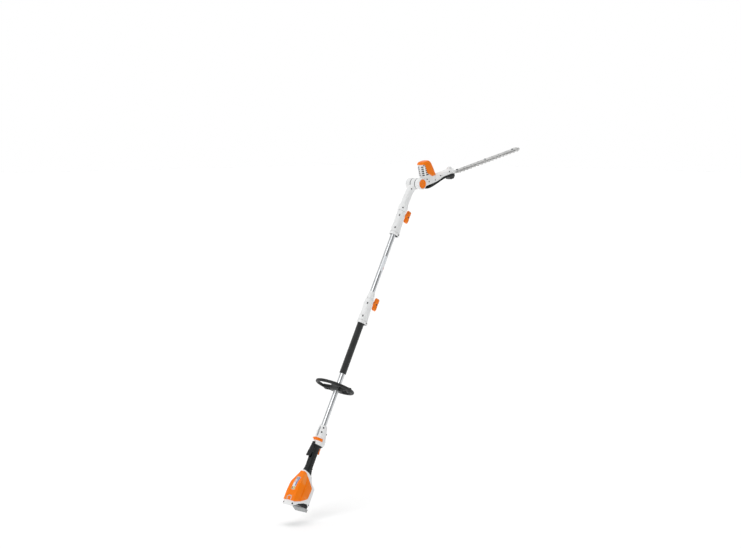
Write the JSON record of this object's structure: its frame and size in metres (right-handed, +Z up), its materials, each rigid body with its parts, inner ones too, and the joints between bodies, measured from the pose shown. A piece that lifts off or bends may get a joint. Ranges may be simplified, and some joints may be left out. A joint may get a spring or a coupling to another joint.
{
  "type": "pole hedge trimmer",
  "caption": "Battery pole hedge trimmer: rear grip with battery, two-section pole with ring handle and wing screws, and a hinged head with double-sided blades.",
  "frame": {"origin": "middle of the rear grip, on the shaft line", "axes": "+Z up with the tool held leaning as in use: the shaft leans 27.5 degrees from +Z towards +X; +X is the way the blades point; Y lies along the head hinge and the part is symmetric across the XZ plane"},
  "size_m": [1.3986, 0.1694, 1.478],
  "materials": {
    "white": "satin moulded",
    "orange": "satin moulded",
    "black": "fine textured",
    "foam": "matt foam",
    "grey": "satin moulded",
    "cell_pack": "satin",
    "tube": "anodised satin",
    "steel": "ground",
    "dark_steel": "blackened",
    "copper": "wound",
    "board": "lacquered"
  },
  "bodies": {
    "rear_unit": {"rear_housing_left": "white", "rear_housing_right": "white", "rear_cover": "orange", "battery_terminal_block": "black", "controller_board": "board", "trigger_switch": "black", "grip_left": "black", "grip_right": "black", "control_housing_left": "white", "control_housing_right": "white", "lower_tube": "tube", "foam_grip": "foam", "lower_sleeve_left": "white", "lower_sleeve_right": "white", "lower_socket": "black", "lower_cable": "black"},
    "battery": {"battery_case": "black", "battery_end_cap": "grey", "battery_cells": "cell_pack"},
    "battery_latch": {"battery_latch": "orange"},
    "trigger": {"trigger": "orange"},
    "ergo_lever": {"ergo_lever": "black"},
    "unlocking_slider": {"unlocking_slider": "orange"},
    "loop_handle": {"loop_handle": "black", "loop_clamp": "black", "loop_clamp_screw_1": "dark_steel", "loop_clamp_screw_2": "dark_steel"},
    "lower_wing_screw": {"lower_wing_screw": "orange"},
    "middle_section": {"middle_tube": "tube", "lower_plug": "black", "middle_collar": "white", "upper_sleeve_left": "white", "upper_sleeve_right": "white", "upper_socket": "black", "middle_cable": "black"},
    "upper_wing_screw": {"upper_wing_screw": "orange"},
    "arm": {"arm_tube": "tube", "upper_plug": "black", "arm_collar": "white", "arm_left": "white", "arm_right": "white"},
    "head": {"head_housing_left": "white", "head_housing_right": "white", "motor_hood": "orange", "under_cover": "black", "motor_can": "dark_steel", "guide_bar": "steel", "bar_bolt_1": "dark_steel", "bar_bolt_2": "dark_steel", "bar_bolt_3": "dark_steel", "tip_guard": "steel", "hinge_pin": "steel"},
    "motor_rotor": {"motor_rotor": "copper", "motor_fan": "black", "pinion": "steel"},
    "crank": {"crank_gear": "steel"},
    "upper_blade": {"upper_blade": "steel"},
    "lower_blade": {"lower_blade": "steel"},
    "release_button_left": {"release_button_left": "orange"},
    "release_button_right": {"release_button_right": "orange"}
  },
  "joints": [
    {"name": "battery_slide", "type": "slide", "parent": "rear_unit", "child": "battery", "axis": [-0.4617, 0, -0.887], "range_m": [0, 0.12]},
    {"name": "battery_latch_press", "type": "hinge", "parent": "rear_unit", "child": "battery_latch", "pos_m": [-0.11991, 0, -0.13938], "axis": [0, -1, 0], "range_deg": [0, 6], "stiffness_Nm_per_rad": 0.1, "springref_deg": -17.19},
    {"name": "trigger_pull", "type": "hinge", "parent": "rear_unit", "child": "trigger", "pos_m": [0.03728, 0, 0.03696], "axis": [0, 1, 0], "range_deg": [0, 12], "stiffness_Nm_per_rad": 0.12, "springref_deg": -22.92},
    {"name": "ergo_lever_squeeze", "type": "hinge", "parent": "rear_unit", "child": "ergo_lever", "pos_m": [0.01167, 0, 0.05706], "axis": [0, -1, 0], "range_deg": [0, 9], "stiffness_Nm_per_rad": 0.2, "springref_deg": -22.92},
    {"name": "unlocking_slider_push", "type": "slide", "parent": "rear_unit", "child": "unlocking_slider", "axis": [0.4617, 0, 0.887], "range_m": [0, 0.008], "stiffness_N_per_m": 150, "springref_m": -0.008},
    {"name": "loop_handle_slide", "type": "slide", "parent": "rear_unit", "child": "loop_handle", "axis": [0.4617, 0, 0.887], "range_m": [-0.14, 0.045]},
    {"name": "lower_wing_screw_turn", "type": "hinge", "parent": "rear_unit", "child": "lower_wing_screw", "pos_m": [0.32692, 0, 0.628], "axis": [0.887, 0, -0.4617], "range_deg": [0, 720]},
    {"name": "middle_section_pull", "type": "slide", "parent": "rear_unit", "child": "middle_section", "axis": [0.4617, 0, 0.887], "range_m": [0, 0.09]},
    {"name": "upper_wing_screw_turn", "type": "hinge", "parent": "middle_section", "child": "upper_wing_screw", "pos_m": [0.51623, 0, 0.99168], "axis": [0.887, 0, -0.4617], "range_deg": [0, 720]},
    {"name": "arm_pull", "type": "slide", "parent": "middle_section", "child": "arm", "axis": [0.4617, 0, 0.887], "range_m": [0, 0.09]},
    {"name": "head_tilt", "type": "hinge", "parent": "arm", "child": "head", "pos_m": [0.60636, 0, 1.115], "axis": [0, 1, 0], "range_deg": [-95, 40]},
    {"name": "crank_spin", "type": "hinge", "parent": "head", "child": "crank", "pos_m": [0.69398, 0, 1.13555], "axis": [-0.2284, 0, 0.9736], "continuous": true},
    {"name": "motor_spin", "type": "hinge", "parent": "head", "child": "motor_rotor", "pos_m": [0.66571, 0, 1.15973], "axis": [-0.2284, 0, 0.9736], "continuous": true},
    {"name": "upper_blade_stroke", "type": "slide", "parent": "head", "child": "upper_blade", "axis": [0.9736, 0, 0.2284], "range_m": [-0.008, 0.008]},
    {"name": "lower_blade_stroke", "type": "slide", "parent": "head", "child": "lower_blade", "axis": [0.9736, 0, 0.2284], "range_m": [-0.008, 0.008]},
    {"name": "release_button_left_push", "type": "slide", "parent": "head", "child": "release_button_left", "axis": [0, 1, 0], "range_m": [0, 0.004], "stiffness_N_per_m": 400, "springref_m": -0.004},
    {"name": "release_button_right_push", "type": "slide", "parent": "head", "child": "release_button_right", "axis": [0, -1, 0], "range_m": [0, 0.004], "stiffness_N_per_m": 400, "springref_m": -0.004}
  ],
  "couplings": [
    {"joint": "motor_spin", "follows": "crank_spin", "ratio": -4.5},
    {"joint": "lower_blade_stroke", "follows": "upper_blade_stroke", "ratio": -1}
  ]
}
